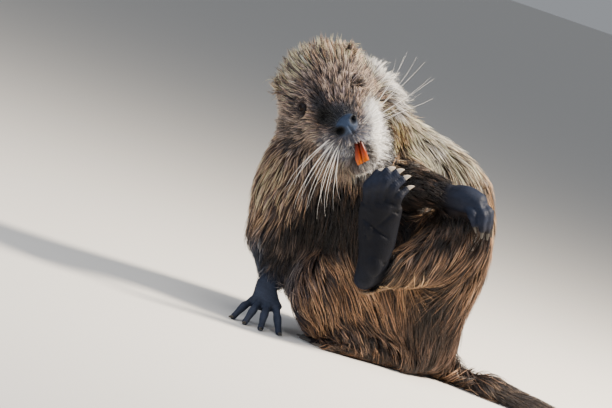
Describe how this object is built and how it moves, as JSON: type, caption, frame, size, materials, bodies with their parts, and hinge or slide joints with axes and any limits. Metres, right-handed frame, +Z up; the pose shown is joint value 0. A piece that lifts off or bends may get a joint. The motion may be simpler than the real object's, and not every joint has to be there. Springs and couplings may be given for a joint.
{
  "type": "coypu",
  "caption": "Life-size still model of a wet coypu that sits hunched, leans on one hand and lifts a hind foot to its chin.",
  "frame": {"origin": "on the floor under the seat, at the middle of the flat that the rump rests on", "axes": "+X to the animal's left, along its tail; +Y behind it; +Z up; it faces -Y"},
  "size_m": [0.5899, 0.3016, 0.3235],
  "materials": {
    "fur": "wet brown fur",
    "bare_skin": "damp blue-black skin",
    "horn": "dark horn",
    "enamel": "orange enamel",
    "eye": "wet dark eye"
  },
  "bodies": {
    "root": {"abdomen": "fur", "chest": "fur", "claw_foot_left_1": "horn", "claw_foot_left_2": "horn", "claw_foot_left_3": "horn", "claw_foot_left_4": "horn", "claw_foot_left_5": "horn", "claw_foot_right_1": "horn", "claw_foot_right_2": "horn", "claw_foot_right_3": "horn", "claw_foot_right_4": "horn", "claw_foot_right_5": "horn", "claw_hand_left_1": "horn", "claw_hand_left_2": "horn", "claw_hand_left_3": "horn", "claw_hand_left_4": "horn", "claw_hand_right_1": "horn", "claw_hand_right_2": "horn", "claw_hand_right_3": "horn", "claw_hand_right_4": "horn", "ear_left": "fur", "ear_right": "fur", "eye_left": "eye", "eye_right": "eye", "foot_left": "bare_skin", "foot_right": "bare_skin", "forearm_left": "fur", "forearm_right": "fur", "hand_left": "bare_skin", "hand_right": "bare_skin", "head": "fur", "incisor_left": "enamel", "incisor_right": "enamel", "lower_jaw": "fur", "neck": "fur", "nose": "bare_skin", "rump": "fur", "shin_left": "fur", "shin_right": "fur", "tail_base": "fur", "tail_middle": "fur", "tail_tip": "fur", "thigh_left": "fur", "thigh_right": "fur", "upper_arm_left": "fur", "upper_arm_right": "fur"}
  },
  "joints": []
}
